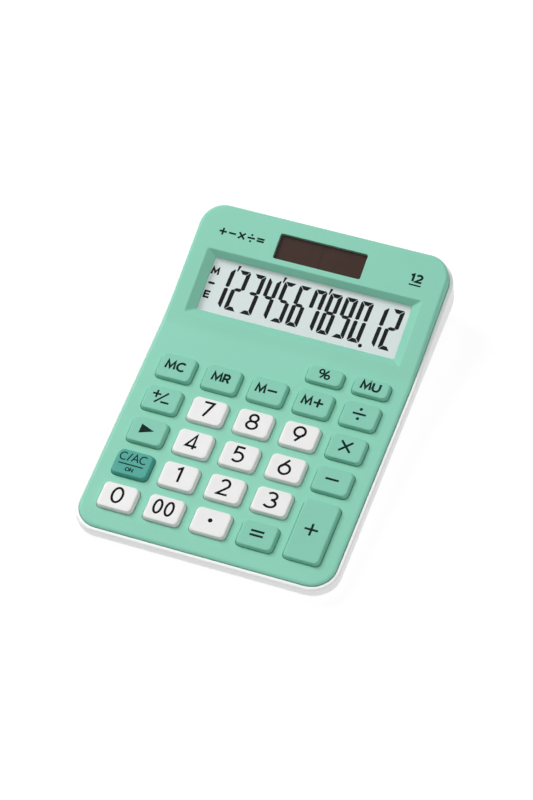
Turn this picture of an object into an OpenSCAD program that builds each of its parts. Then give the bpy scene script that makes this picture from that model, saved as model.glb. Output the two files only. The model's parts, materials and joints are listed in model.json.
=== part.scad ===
// Desk calculator with a sloping keypad, a raised display and a solar panel.
// The origin is under the middle of the case, on the surface it stands on.
// +X is to the user's right, +Y is towards the display end and +Z is up.

/* [Case] */
// Width of the white rear cover
body_w = 106.5; // [104:0.5:110]
// Length of the white rear cover
body_l = 148.7; // [147:0.1:150]
// How far the rear cover's rim shows around the top cover
rim_w = 1.6; // [1.4:0.1:2]
// Corner radius of the top cover, seen from above
cover_corner_r = 9.5; // [8:0.5:10]
// Wall thickness of the top cover
cover_t = 1.6; // [1.4:0.1:1.8]
// Wall thickness of the rear cover
rear_wall = 2; // [1.8:0.1:2.2]
// Thickness of the rear cover's floor
floor_t = 1.4; // [1.2:0.1:1.6]

/* [Slopes] */
// Slope of the keypad, in degrees
pad_tilt = 4.3; // [4:0.1:5]
// How much steeper the display is than the keypad, in degrees
display_rise = 11.2; // [10:0.1:12]
// Radius of the soft bend between keypad and display
bend_r = 22; // [15:1:24]
// Lean of the tucked-in lower walls, in degrees from upright
tuck_angle = 30; // [20:1:35]

/* [Keys] */
// Distance between key columns
column_pitch = 18.85; // [18.6:0.05:19]
// Distance between key rows
row_pitch = 15.13; // [15:0.01:15.2]
// Width of a key where it leaves the face
key_w = 14.9; // [14.5:0.1:15]
// Depth of a key where it leaves the face
key_l = 11.2; // [10.8:0.1:11.4]
// Depth of the two small keys of the top row
small_key_l = 7.6; // [7.4:0.1:7.8]
// Height of a key above the face
key_h = 1.9; // [1.8:0.1:2.2]
// How far a key travels
key_travel = 1.2; // [1:0.1:1.2]

/* [Display] */
// Width of the bezel's recess at the face
bezel_w = 89; // [86:0.5:90]
// Width of the visible display
view_w = 82; // [80:0.2:82]
// Length of the visible display, up the slope
view_l = 23; // [22:0.2:23]
// Depth of the recess
bezel_depth = 2.5; // [2.2:0.1:2.5]
// Width of the solar panel's opening
solar_w = 36.3; // [35:0.1:37]
// Length of the solar panel's opening, up the slope
solar_l = 10.9; // [10:0.1:11]

/* [Feet] */
// Height that the feet hold the base up
foot_h = 0.8; // [0.6:0.1:1]
// Radius of a foot
foot_r = 4.5; // [4:0.1:5]

/* [Hidden] */
$fn = 64;
far = 200;              // well outside the case
deep = 50;              // well below the case
gap = 0.1;              // play between pieces that sit in each other
eps = 0.01;             // hair's breadth by which a cut passes a face
touch = 0.02;           // gap between pieces that lie on each other
slack = 0.05;           // play of pieces that are clamped or pressed

// The keypad's own frame: its origin is on the face, midway between rows 2 and 3.
pad_y = -36.65;
pad_z = 10.5;
middle_row = 2.5;
middle_column = 2;

// The display's own frame starts where its slope would cut the keypad's slope.
bend_y = 57.45;
bend_steps = 6;
bend_start = bend_y - bend_r * tan(display_rise / 2);

// The line where the covers meet, in the keypad's frame
rim_drop = 0.9;         // below the face along the keypad
rim_bend_y = 60;        // where the line starts to rise
rim_rise = 0.135;       // its slope beyond there
skirt = 1.8;            // the top cover's wall reaches this far inside the rim
ledge = 2;              // the rear cover's ledge lies this far below the rim

// The rear cover's lower walls
tuck_z = -6.6;           // height in the keypad's frame where the side walls turn in
nose_z = 2.2;           // height where the front wall turns in
nose_in = 1.8;          // how far it turns in
tail_z = 12.4;          // height where the back wall turns in
base_z = foot_h;
floor_z = base_z + floor_t;
tail_in = (tail_z - base_z) * tan(tuck_angle);
rear_corner_r = cover_corner_r + rim_w;

// Keys and what lies under them, as depths below the face
opening_gap = 0.2;      // between a key and the edge of its opening
key_r = 2.1;            // corner radius of a key at its base
top_in_x = 0.65;        // how far a key's sides lean in
top_in_y = 0.3;
straight_h = 0.4;       // a key's walls stand upright up to here
flange_out = 0.6;       // a key's flange reaches this far under the face
flange_top = cover_t + gap;
flange_t = 0.6;
key_wall = 1.3;
key_roof = 1.6;         // thickness of a key's top
key_hollow_r = 0.8;
plunger_r = 2;
plunger_end = flange_top + flange_t + slack;
mat_top = plunger_end + key_travel + slack;
mat_t = 0.5;
board_top = mat_top + mat_t;
board_t = 0.8;
dome_r = 4.4;
dome_top_r = 2.8;
dome_t = 0.6;
mat_half_w = 44.5;
mat_front = -28.5;
mat_back = 55.5;
board_half_w = 45;
board_front = -31.5;
board_back = 58;
rib_t = 1.2;            // ribs that hold the board up from the floor
rib_front = -27.5;
rib_back = 36;

// [name, column, row, depth at the face, height, colour]
mint = "mediumaquamarine";
teal = "cadetblue";
white = "whitesmoke";
small_row = -0.858;
KEYS = [
    ["key_percent", 3, small_row, small_key_l, key_h, mint],
    ["key_markup", 4, small_row, small_key_l, key_h, mint],
    ["key_memory_clear", 0, 0, key_l, key_h, mint],
    ["key_memory_recall", 1, 0, key_l, key_h, mint],
    ["key_memory_minus", 2, 0, key_l, key_h, mint],
    ["key_memory_plus", 3, 0, key_l, key_h, mint],
    ["key_divide", 4, 0, key_l, key_h, mint],
    ["key_sign", 0, 1, key_l, key_h, mint],
    ["key_7", 1, 1, key_l, key_h, white],
    ["key_8", 2, 1, key_l, key_h, white],
    ["key_9", 3, 1, key_l, key_h, white],
    ["key_multiply", 4, 1, key_l, key_h, mint],
    ["key_shift_right", 0, 2, key_l, key_h, mint],
    ["key_4", 1, 2, key_l, key_h, white],
    ["key_5", 2, 2, key_l, key_h, white],
    ["key_6", 3, 2, key_l, key_h, white],
    ["key_subtract", 4, 2, key_l, key_h, mint],
    ["key_clear_on", 0, 3, key_l, key_h, teal],
    ["key_1", 1, 3, key_l, key_h, white],
    ["key_2", 2, 3, key_l, key_h, white],
    ["key_3", 3, 3, key_l, key_h, white],
    ["key_0", 0, 4, key_l, key_h, white],
    ["key_00", 1, 4, key_l, key_h, white],
    ["key_point", 2, 4, key_l, key_h, white],
    ["key_equals", 3, 4, key_l, key_h, mint],
    ["key_add", 4, 3.5, key_l + row_pitch, key_h, mint]
];
function key_x(k) = (k[1] - middle_column) * column_pitch;
function key_y(k) = (middle_row - k[2]) * row_pitch;

// Display, in its own frame
bezel_front = 5.9;
bezel_back = 34.2;
view_front = 9.1;
view_back = view_front + view_l;
lip_t = 0.4;            // edge of plastic over the window
window_t = 0.9;
window_over = 1.3;      // how far the window reaches under the lip
window_top = bezel_depth + lip_t;
tub_depth = 4.2;        // depth of the bezel's walls
tub_wall = 1;
panel_top = tub_depth;
panel_t = 1.8;
panel_over = 2.2;       // how far the glass panel reaches past the view
reflector_t = 0.25;
ribbon_w = 70;
ribbon_t = 0.2;
ribbon_front = 50;      // the ribbon lies on the board from here
ribbon_off = 58.6;      // and leaves it here
holder_wall = 1.5;
holder_t = 1.4;
ear_x = 47.2;
ear_r = 1.9;
EAR_Y = [12, 29];
holder_front = 11;
holder_back = view_back + panel_over + gap + holder_wall;
holder_floor = panel_top + panel_t + reflector_t + gap;
solar_front = 36.5;
solar_sink = 0.5;       // the solar window lies this far below the face
solar_window_t = 1;
cell_over = 1.2;
cell_t = 1.1;
fence_t = 1;
fence_h = 2;            // how far the fence round the cell stands below the wall

// Case screws: [x, y, height of the seat under the head]
screw_r = 1.1;
screw_head_r = 2;
screw_head_h = 1.1;
screw_l = 4.3;
seat_t = 1.1;
boss_r = 3;
post_r = 2.2;
FRONT_BOSS = [46.3, -66.95, 2.1];
BACK_BOSS = [42, 62, 14];
BOSSES = [for (b = [FRONT_BOSS, BACK_BOSS], side = [-1, 1]) [side * b[0], b[1], b[2]]];

// Small screws of the circuit board and of the display holder
board_screw_r = 0.6;
board_screw_head_r = 1.2;
board_screw_l = 2.6;
small_head_h = 0.7;
cross_l = 1.2;          // length and width of a screw's cross, as shares of its head's radius
cross_w = 0.24;
board_post_r = 1.25;
BOARD_SCREWS = [for (c = [0.5, 1.5, 2.5, 3.5], r = [0.5, 3.5])
    [(c - middle_column) * column_pitch, (middle_row - r) * row_pitch]];
holder_screw_r = 0.8;
holder_screw_head_r = 1.6;
holder_screw_l = 3.6;

// Parts under the circuit board, in the keypad's frame
BLOB = [9.4, 46];
blob_r = 9;             // radius of the ball that the drop is a slice of
blob_rise = 1.6;
CAPACITOR = [-9.4, 48];
capacitor_r = 2.5;
capacitor_l = 5;

// Battery: a button cell that lies on the floor behind the display
battery_x = 30;
battery_y = 47;
battery_r = 5.8;
battery_h = 5.4;
cap_h = 0.6;            // the cell's narrower end
cap_in = 1;
cell_play = 0.2;
contact_t = 0.2;
contact_w = 3;
seat_wall = 1.1;
seat_h = 4.6;
leg_out = 1.2;          // the contacts' legs stand this far outside the seat
low_leg_h = 3;
battery_z = floor_z + contact_t + slack;
contact_top_z = battery_z + battery_h + slack;

// Wire routes, in the object's frame
wire_r = 0.5;
wire_sides = 8;
WIRE_SIDE = [3, 0, 1];  // no wire runs this way, so it can set the rings' turn
board_wire_z = 9.2;
FEET = [[41, -58], [-41, -58], [37, 50], [-37, 50]];
foot_sink = 0.5;

// Frames

module on_pad() {
    translate([0, pad_y, pad_z]) rotate([pad_tilt, 0, 0]) children();
}

module on_display() {
    on_pad() translate([0, bend_y, 0]) rotate([display_rise, 0, 0]) children();
}

// A point of the display's side view in the keypad's side view
function display_to_pad(y, z) = [
    bend_y + y * cos(display_rise) - z * sin(display_rise),
    y * sin(display_rise) + z * cos(display_rise)
];

// Basic shapes

// A 2D side view (Y across, Z up) drawn out over a width along X
module side_view(w) {
    rotate([90, 0, 90]) translate([0, 0, -w / 2]) linear_extrude(w) children();
}

// A 2D front view (X across, Z up) drawn out over a length along Y
module front_view(l) {
    translate([0, l / 2, 0]) rotate([90, 0, 0]) linear_extrude(l) children();
}

module rounded_rect(w, l, r) {
    square([w - 2 * r, l], center = true);
    square([w, l - 2 * r], center = true);
    for (x = [-1, 1], y = [-1, 1])
        translate([x * (w / 2 - r), y * (l / 2 - r)]) circle(r);
}

// A block with upright rounded corners between two heights
module rounded_block(w, l, r, z0, z1) {
    translate([0, 0, z0]) linear_extrude(z1 - z0) rounded_rect(w, l, r);
}

// A block centred on X, from y0 to y1 and from z0 to z1
module block(w, y0, y1, z0, z1) {
    translate([-w / 2, y0, z0]) cube([w, y1 - y0, z1 - z0]);
}

module post(x, y, r, z0, z1) {
    translate([x, y, z0]) cylinder(r = r, h = z1 - z0);
}

// A round wire swept through a list of points
function unit(v) = v / norm(v);
function tangent(points, i) =
    unit(points[min(i + 1, len(points) - 1)] - points[max(i - 1, 0)]);
function wire_ring(points, i) =
    let (along = tangent(points, i),
         side = unit(cross(along, WIRE_SIDE)),
         up = cross(side, along))
    [for (j = [0:wire_sides - 1]) let (a = 360 * j / wire_sides)
        points[i] + wire_r * (side * cos(a) + up * sin(a))];

module wire(points) {
    n = wire_sides;
    last = len(points) - 1;
    polyhedron(
        points = [for (i = [0:last]) each wire_ring(points, i)],
        faces = concat(
            [[for (j = [0:n - 1]) j]],
            [[for (j = [n - 1:-1:0]) last * n + j]],
            [for (i = [0:last - 1], j = [0:n - 1]) let (k = (j + 1) % n)
                [i * n + j, (i + 1) * n + j, (i + 1) * n + k, i * n + k]]
        )
    );
}

// The case as cutting shapes

module cover_plan(inset) {
    rounded_block(body_w - 2 * (rim_w + inset), body_l - 2 * (rim_w + inset),
                  cover_corner_r - inset, -far, far);
}

module rear_plan(inset) {
    rounded_block(body_w - 2 * inset, body_l - 2 * inset, rear_corner_r - inset, -far, far);
}

// The face's side view at a depth below it: keypad, bend and display
function face_path(depth) = concat(
    [[-far, -depth]],
    [for (i = [0:bend_steps]) let (t = display_rise * i / bend_steps)
        [bend_start + (bend_r + depth) * sin(t), bend_r - (bend_r + depth) * cos(t)]],
    [[bend_y + far * cos(display_rise) + depth * sin(display_rise),
      far * sin(display_rise) - depth * cos(display_rise)]]
);

module below_face(depth) {
    on_pad() side_view(far) polygon(concat(face_path(depth), [[far, -far], [-far, -far]]));
}

function rim_path(depth) = [
    [-far, -rim_drop - depth],
    [rim_bend_y, -rim_drop - depth],
    [far, (far - rim_bend_y) * rim_rise - rim_drop - depth]
];

module below_rim(depth) {
    on_pad() side_view(far) polygon(concat(rim_path(depth), [[far, -far], [-far, -far]]));
}

module above_rim(depth) {
    on_pad() side_view(far) polygon(concat(rim_path(depth), [[far, far], [-far, far]]));
}

// The rear cover's tucked-in sides and ends, moved in by inset
module tub_sides(inset) {
    half = body_w / 2 - inset;
    low = half - (deep + tuck_z) * tan(tuck_angle);
    on_pad() front_view(2 * far)
        polygon([[half, far], [half, tuck_z], [low, -deep],
                 [-low, -deep], [-half, tuck_z], [-half, far]]);
}

module tub_ends(inset, bottom) {
    end = body_l / 2 - inset;
    side_view(far)
        polygon([[-end, far], [-end, nose_z], [nose_in - end, bottom],
                 [end - tail_in, bottom], [end, tail_z], [end, far]]);
}

// Top cover

module key_openings() {
    for (k = KEYS)
        translate([key_x(k), key_y(k), 0])
            rounded_block(key_w + 2 * opening_gap, k[3] + 2 * opening_gap,
                          key_r + opening_gap, -cover_t - 1, 1);
}

// The sloping walls of the display's recess: steep behind, gentle in front
module bezel_cut() {
    over = 1;
    side = (bezel_w - view_w) / 2 / bezel_depth;
    front = (view_front - bezel_front) / bezel_depth;
    back = (bezel_back - view_back) / bezel_depth;
    intersection() {
        front_view(far)
            polygon([[-bezel_w / 2 - side * over, over], [-view_w / 2, -bezel_depth],
                     [view_w / 2, -bezel_depth], [bezel_w / 2 + side * over, over]]);
        side_view(far)
            polygon([[bezel_front - front * over, over], [view_front, -bezel_depth],
                     [view_back, -bezel_depth], [bezel_back + back * over, over]]);
    }
}

module display_cuts() {
    bezel_cut();
    block(view_w, view_front, view_back, -tub_depth - 1, -bezel_depth + eps);
    block(view_w + 2 * (window_over + gap), view_front - window_over - gap,
          view_back + window_over + gap, -tub_depth - 1, -window_top);
    block(solar_w, solar_front, solar_front + solar_l, -cover_t - 1, 1);
}

module solar_fence() {
    w = solar_w + 2 * (cell_over + gap);
    y0 = solar_front - cell_over - gap;
    y1 = solar_front + solar_l + cell_over + gap;
    difference() {
        block(w + 2 * fence_t, y0 - fence_t, y1 + fence_t, -cover_t - fence_h, -cover_t / 2);
        block(w, y0, y1, -cover_t - fence_h - 1, -cover_t);
    }
}

module cover_bosses() {
    intersection() {
        below_face(cover_t / 2);
        union() {
            for (b = BOSSES) post(b[0], b[1], post_r, b[2] + seat_t + gap, far);
            on_pad() for (s = BOARD_SCREWS)
                post(s[0], s[1], board_post_r, -board_top, 0);
            on_display() for (x = [-ear_x, ear_x], y = EAR_Y)
                post(x, y, ear_r, -tub_depth, 0);
        }
    }
}

module top_cover() {
    color(mint) difference() {
        union() {
            difference() {
                intersection() {
                    cover_plan(0);
                    below_face(0);
                    above_rim(skirt);
                }
                intersection() {
                    cover_plan(cover_t);
                    below_face(cover_t);
                }
            }
            cover_bosses();
            on_display() {
                block(bezel_w + 2 * tub_wall, bezel_front - tub_wall, bezel_back + tub_wall,
                      -tub_depth, -cover_t / 2);
                solar_fence();
            }
        }
        on_pad() {
            key_openings();
            for (s = BOARD_SCREWS)
                post(s[0], s[1], board_screw_r + touch, -board_top - 1, -cover_t / 2);
        }
        on_display() {
            display_cuts();
            for (x = [-ear_x, ear_x], y = EAR_Y)
                post(x, y, holder_screw_r + touch, -tub_depth - 1, -cover_t);
        }
        for (b = BOSSES) post(b[0], b[1], screw_r + touch, b[2], b[2] + screw_l + gap);
    }
}

// Rear cover

module rear_ribs() {
    intersection() {
        on_pad() for (x = [-2, -1, 0, 1, 2])
            translate([x * column_pitch, 0, 0])
                block(rib_t, rib_front, rib_back, -far, -board_top - board_t - gap);
        tub_sides(rear_wall / 2);
        tub_ends(rear_wall / 2, floor_z - floor_t / 2);
    }
}

module battery_seat() {
    r = battery_r + cell_play;
    translate([battery_x, battery_y, 0]) difference() {
        post(0, 0, r + seat_wall, floor_z - eps, floor_z + seat_h);
        post(0, 0, r, floor_z - far, floor_z + seat_h + 1);
        block(contact_w + 2 * cell_play, -far, far, floor_z - far, floor_z + seat_h + 1);
    }
}

module rear_cover() {
    color(white) difference() {
        union() {
            difference() {
                intersection() {
                    rear_plan(0);
                    below_rim(0);
                    tub_sides(0);
                    tub_ends(0, base_z);
                }
                intersection() {
                    rear_plan(rear_wall);
                    tub_sides(rear_wall);
                    tub_ends(rear_wall, floor_z);
                }
                intersection() {
                    cover_plan(-gap);
                    above_rim(ledge);
                }
            }
            rear_ribs();
            battery_seat();
            for (b = BOSSES) post(b[0], b[1], boss_r, base_z, b[2] + seat_t);
        }
        for (b = BOSSES) {
            post(b[0], b[1], screw_head_r + 2 * gap, -1, b[2]);
            post(b[0], b[1], screw_r + gap + slack, -1, b[2] + seat_t + 1);
        }
        for (f = FEET) post(f[0], f[1], foot_r + gap, -1, base_z + foot_sink);
    }
}

module rubber_feet() {
    color("dimgray") for (f = FEET) {
        post(f[0], f[1], foot_r, foot_h / 2, base_z + foot_sink);
        post(f[0], f[1], foot_r - 0.5, 0, foot_h / 2 + eps);
    }
}

module screw(r, l, head_r, head_h) {
    cylinder(r = r, h = l);
    difference() {
        translate([0, 0, -head_h]) cylinder(r = head_r, h = head_h + eps);
        for (a = [0, 90]) rotate(a)
            translate([-head_r * cross_l / 2, -head_r * cross_w / 2, -head_h - eps])
                cube([head_r * cross_l, head_r * cross_w, head_h / 2]);
    }
}

module case_screws() {
    color("silver") for (b = BOSSES)
        translate(b - [0, 0, touch]) screw(screw_r, screw_l, screw_head_r, screw_head_h);
}

// Display

module display_window() {
    color("lightcyan", 0.4) on_display()
        block(view_w + 2 * window_over, view_front - window_over, view_back + window_over,
              -window_top - window_t, -window_top);
}

module lcd_panel() {
    color("lightgray") on_display()
        block(view_w + 2 * panel_over, view_front - panel_over, view_back + panel_over,
              -panel_top - panel_t, -panel_top - slack);
}

module lcd_reflector() {
    color("gainsboro") on_display()
        block(view_w + 2 * panel_over, holder_front, view_back + panel_over,
              -panel_top - panel_t - reflector_t, -panel_top - panel_t);
}

module lcd_holder() {
    inner_w = view_w + 2 * (panel_over + gap);
    color("dimgray") on_display() difference() {
        union() {
            block(inner_w + 2 * holder_wall, view_front - panel_over, holder_back,
                  -holder_floor, -panel_top - slack);
            block(inner_w + 2 * holder_wall, holder_front, holder_back,
                  -holder_floor - holder_t, -holder_floor + eps);
            for (x = [-1, 1], y = EAR_Y) {
                post(x * ear_x, y, ear_r, -holder_floor, -tub_depth - slack);
                translate([x * (ear_x - ear_r), y, 0])
                    block(2 * ear_r, -ear_r, ear_r, -holder_floor, -tub_depth - slack);
            }
        }
        block(inner_w, 0, view_back + panel_over + gap, -holder_floor, 0);
        for (x = [-ear_x, ear_x], y = EAR_Y)
            post(x, y, holder_screw_r + 0.1, -far, 0);
    }
}

// The flat ribbon from the glass panel's front edge down to the circuit board
module lcd_ribbon() {
    under_panel = -panel_top - panel_t - 0.13;
    top = [[ribbon_front, -board_top + ribbon_t], [ribbon_off, -board_top + ribbon_t],
           [62.2, -4.95],
           display_to_pad(view_front - panel_over - 1.4, under_panel),
           display_to_pad(holder_front - 0.8, under_panel)];
    color("sandybrown") on_pad() side_view(ribbon_w)
        polygon(concat(top, [for (i = [len(top) - 1:-1:0]) top[i] - [0, ribbon_t]]));
}

module display_screws() {
    color("silver") on_display() for (x = [-ear_x, ear_x], y = EAR_Y)
        translate([x, y, -holder_floor - touch])
            screw(holder_screw_r, holder_screw_l, holder_screw_head_r, small_head_h);
}

// Solar panel

module solar_window() {
    color("dimgray", 0.5) on_display()
        block(solar_w - 2 * gap, solar_front + gap, solar_front + solar_l - gap,
              -solar_sink - solar_window_t, -solar_sink);
}

module solar_cell() {
    color("maroon") on_display()
        block(solar_w + 2 * cell_over, solar_front - cell_over,
              solar_front + solar_l + cell_over, -cover_t - cell_t, -cover_t - touch);
}

function on_display_point(p) =
    let (a = pad_tilt, b = pad_tilt + display_rise)
    [p[0],
     pad_y + bend_y * cos(a) + p[1] * cos(b) - p[2] * sin(b),
     pad_z + bend_y * sin(a) + p[1] * sin(b) + p[2] * cos(b)];

// Down behind the display holder, forward under it and up to the board's back edge
function solar_route(side) = [
    on_display_point([side * 15, 41, -cover_t - cell_t - wire_r]),
    on_display_point([side * 17, 38.5, -5]),
    on_display_point([side * 19, 37, -9]),
    [side * 20, 47, 10],
    [side * 20, 34, 8.5],
    [side * 19, 26, 8],
    [side * 18, 20.5, board_wire_z]
];

module solar_lead_positive() {
    color("crimson") wire(solar_route(-1));
}

module solar_lead_negative() {
    color("darkslategray") wire(solar_route(1));
}

// Circuit board and keypad mat

module circuit_board() {
    color("seagreen") difference() {
        on_pad() difference() {
            block(2 * board_half_w, board_front, board_back, -board_top - board_t, -board_top);
            for (s = BOARD_SCREWS)
                post(s[0], s[1], board_screw_r + gap, -far, far);
        }
        for (x = [-1, 1]) post(x * FRONT_BOSS[0], FRONT_BOSS[1], boss_r + 0.6, 0, far);
    }
}

module board_screws() {
    color("silver") on_pad() for (s = BOARD_SCREWS)
        translate([s[0], s[1], -board_top - board_t - touch])
            screw(board_screw_r, board_screw_l, board_screw_head_r, small_head_h);
}

module processor_blob() {
    color("black") on_pad() translate([BLOB[0], BLOB[1], -board_top - board_t]) intersection() {
        translate([0, 0, blob_r - blob_rise]) sphere(blob_r);
        post(0, 0, blob_r, -far, -eps);
    }
}

module board_capacitor() {
    color("navy") on_pad() translate([CAPACITOR[0], CAPACITOR[1], -board_top - board_t])
        post(0, 0, capacitor_r, -capacitor_l, -touch);
}

module keypad_mat() {
    color("lightgray") on_pad() difference() {
        union() {
            block(2 * mat_half_w, mat_front, mat_back, -board_top + eps, -mat_top);
            for (k = KEYS) translate([key_x(k), key_y(k), -mat_top - eps])
                cylinder(r1 = min(dome_r, k[3] / 2), r2 = dome_top_r, h = mat_top - plunger_end - gap);
        }
        for (k = KEYS) translate([key_x(k), key_y(k), -board_top - eps])
            cylinder(r1 = min(dome_r, k[3] / 2) - dome_t / 2, r2 = dome_top_r - dome_t,
                     h = board_top - plunger_end - gap - dome_t);
        for (s = BOARD_SCREWS) post(s[0], s[1], board_post_r + gap, -far, far);
        for (x = [-1, 1])
            post(x * FRONT_BOSS[0], FRONT_BOSS[1] - pad_y, boss_r + 1.2, -far, far);
        block(ribbon_w + 2, ribbon_front - 0.5, far, -far, -mat_top - mat_t / 2);
    }
}

// Battery

module battery_cell() {
    color("silver") {
        post(battery_x, battery_y, battery_r, battery_z + cap_h, battery_z + battery_h);
        post(battery_x, battery_y, battery_r - cap_in, battery_z, battery_z + cap_h + eps);
    }
}

// A strip on a flat side of the cell with a leg that stands outside the seat
module battery_contact(z, end, z0, z1) {
    reach = battery_r + seat_wall + leg_out;
    translate([battery_x - contact_w / 2, battery_y, 0]) {
        translate([0, end > 0 ? -1 : -reach, z]) cube([contact_w, reach + 1, contact_t]);
        translate([0, end > 0 ? reach - contact_t : -reach, z0])
            cube([contact_w, contact_t, z1 - z0]);
    }
}

module battery_contact_positive() {
    color("goldenrod")
        battery_contact(contact_top_z, 1, floor_z + touch, contact_top_z + contact_t);
}

module battery_contact_negative() {
    color("goldenrod")
        battery_contact(floor_z + touch, -1, floor_z + touch, floor_z + low_leg_h);
}

module battery_lead_positive() {
    y = battery_y + battery_r + seat_wall + leg_out + wire_r;
    color("crimson")
        wire([[battery_x, y, 4.5], [battery_x + 6, y, 4], [battery_x + 10, battery_y, 3.6],
              [battery_x + 8, 34, 5], [33, 26, 7.6], [32, 20.5, board_wire_z]]);
}

module battery_lead_negative() {
    y = battery_y - battery_r - seat_wall - leg_out - wire_r;
    color("darkslategray")
        wire([[battery_x, y, 4.5], [battery_x - 1, y - 5, 4.2],
              [27, 27, 7.4], [26, 20.5, board_wire_z]]);
}

// Keys: a cap with leaning walls, hollow below, with a flange and a plunger

module leaning_sides(half, lean, h) {
    polygon([[-half, -far], [-half, straight_h], [lean - half, h],
             [half - lean, h], [half, straight_h], [half, -far]]);
}

module key(k) {
    l = k[3];
    h = k[4];
    out = key_w + 2 * flange_out;
    color(k[5]) on_pad() translate([key_x(k), key_y(k), 0]) difference() {
        union() {
            intersection() {
                rounded_block(key_w, l, key_r, -flange_top - eps, h);
                front_view(l) leaning_sides(key_w / 2, top_in_x, h);
                side_view(key_w) leaning_sides(l / 2, top_in_y, h);
            }
            rounded_block(out, l + 2 * flange_out, key_r + flange_out,
                          -flange_top - flange_t, -flange_top);
        }
        difference() {
            rounded_block(key_w - 2 * key_wall, l - 2 * key_wall, key_hollow_r,
                          -flange_top - flange_t - 1, h - key_roof);
            post(0, 0, plunger_r, -far, h);
        }
    }
    color(k[5]) on_pad() post(key_x(k), key_y(k), plunger_r, -plunger_end, -flange_top);
}

top_cover();
rear_cover();
rubber_feet();
case_screws();
display_window();
lcd_panel();
lcd_reflector();
lcd_holder();
lcd_ribbon();
display_screws();
solar_window();
solar_cell();
solar_lead_positive();
solar_lead_negative();
circuit_board();
board_screws();
processor_blob();
board_capacitor();
keypad_mat();
battery_cell();
battery_contact_positive();
battery_contact_negative();
battery_lead_positive();
battery_lead_negative();
for (k = KEYS) key(k);
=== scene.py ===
"""A desk calculator: detailed covers, keys, legends and display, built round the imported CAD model."""

import json
import math

import bmesh
import bpy
from mathutils import Matrix, Vector
from mathutils.geometry import delaunay_2d_cdt


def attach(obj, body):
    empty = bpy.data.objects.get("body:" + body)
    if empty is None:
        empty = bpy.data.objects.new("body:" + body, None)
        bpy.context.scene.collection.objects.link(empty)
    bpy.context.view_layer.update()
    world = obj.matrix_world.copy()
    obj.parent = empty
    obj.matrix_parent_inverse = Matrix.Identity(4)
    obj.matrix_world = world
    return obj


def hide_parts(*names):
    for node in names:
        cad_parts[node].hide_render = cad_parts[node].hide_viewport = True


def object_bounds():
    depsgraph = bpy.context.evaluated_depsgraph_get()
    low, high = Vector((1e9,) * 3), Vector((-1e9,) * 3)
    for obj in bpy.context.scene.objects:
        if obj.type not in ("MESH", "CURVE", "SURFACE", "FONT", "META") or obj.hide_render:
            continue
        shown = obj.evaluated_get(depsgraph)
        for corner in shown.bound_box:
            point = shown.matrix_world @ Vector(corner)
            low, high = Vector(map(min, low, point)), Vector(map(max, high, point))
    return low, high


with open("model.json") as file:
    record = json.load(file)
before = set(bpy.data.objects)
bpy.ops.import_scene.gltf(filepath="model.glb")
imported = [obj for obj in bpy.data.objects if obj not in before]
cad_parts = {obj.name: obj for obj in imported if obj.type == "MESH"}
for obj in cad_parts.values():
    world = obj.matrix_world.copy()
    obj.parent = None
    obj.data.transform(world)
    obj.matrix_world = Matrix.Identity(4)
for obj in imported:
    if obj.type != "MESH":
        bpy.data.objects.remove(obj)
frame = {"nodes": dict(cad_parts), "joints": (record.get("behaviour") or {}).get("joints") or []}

CAD_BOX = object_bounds()
MM = 0.001
CASE = "case"

# Measures, in millimetres. The row frame's origin is under the middle of the case.
low, high = (corner / MM for corner in CAD_BOX)
BODY_W = high.x - low.x
BODY_L = high.y - low.y
RIM_W = 1.6                 # white rim round the mint cover
COVER_R = 9.5               # corner radius of the mint cover
REAR_R = COVER_R + RIM_W
COVER_T = 1.6               # wall of the mint cover
EDGE_R = 1.5                # rounding of the mint cover's outer edge
REAR_WALL = 2.0
BASE_Z = 0.8
FLOOR_Z = 2.2
GAP = 0.1                   # play between pieces that sit in each other
RIM_DROP = 0.9              # the rim lies this far below the keypad's face
RIM_BEND_Y = 60.0           # the rim rises from here, in the keypad's frame
RIM_RISE = 0.135
RIM_ROUND = (1.0, 0.9)      # how far the rim's outer edge is rounded, down and in
SKIRT = 1.8                 # the mint wall reaches this far inside the rim
LEDGE = 2.0
TUCK_Z = -6.6               # where the white side walls turn in, in the keypad's frame
TUCK = math.tan(math.radians(30))
NOSE_Z, NOSE_IN = 2.2, 1.8  # where the front wall turns in, and how far
TAIL_Z = 12.4               # where the back wall turns in
TAIL_IN = (TAIL_Z - BASE_Z) * TUCK
BEND_R = 22.0               # soft bend between keypad and display
BEND_Y = 57.45              # where the two slopes would meet, in the keypad's frame

# The keypad's frame, tilted as the keys' own travel says, and the display's frame on top of it
press = Vector(frame["joints"][0]["axis"])
PAD_TILT = math.atan2(press.y, -press.z)
DISPLAY_RISE = math.radians(11.2)
PAD_Y = -36.65
PAD_Z = 10.5
PAD = Matrix.Translation((0, PAD_Y, PAD_Z)) @ Matrix.Rotation(PAD_TILT, 4, "X")
DISPLAY = PAD @ Matrix.Translation((0, BEND_Y, 0)) @ Matrix.Rotation(DISPLAY_RISE, 4, "X")
BEND_CUT = BEND_R * math.tan(DISPLAY_RISE / 2)
BEND_START = BEND_Y - BEND_CUT
BEND_END = BEND_START + BEND_R * DISPLAY_RISE

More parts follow.
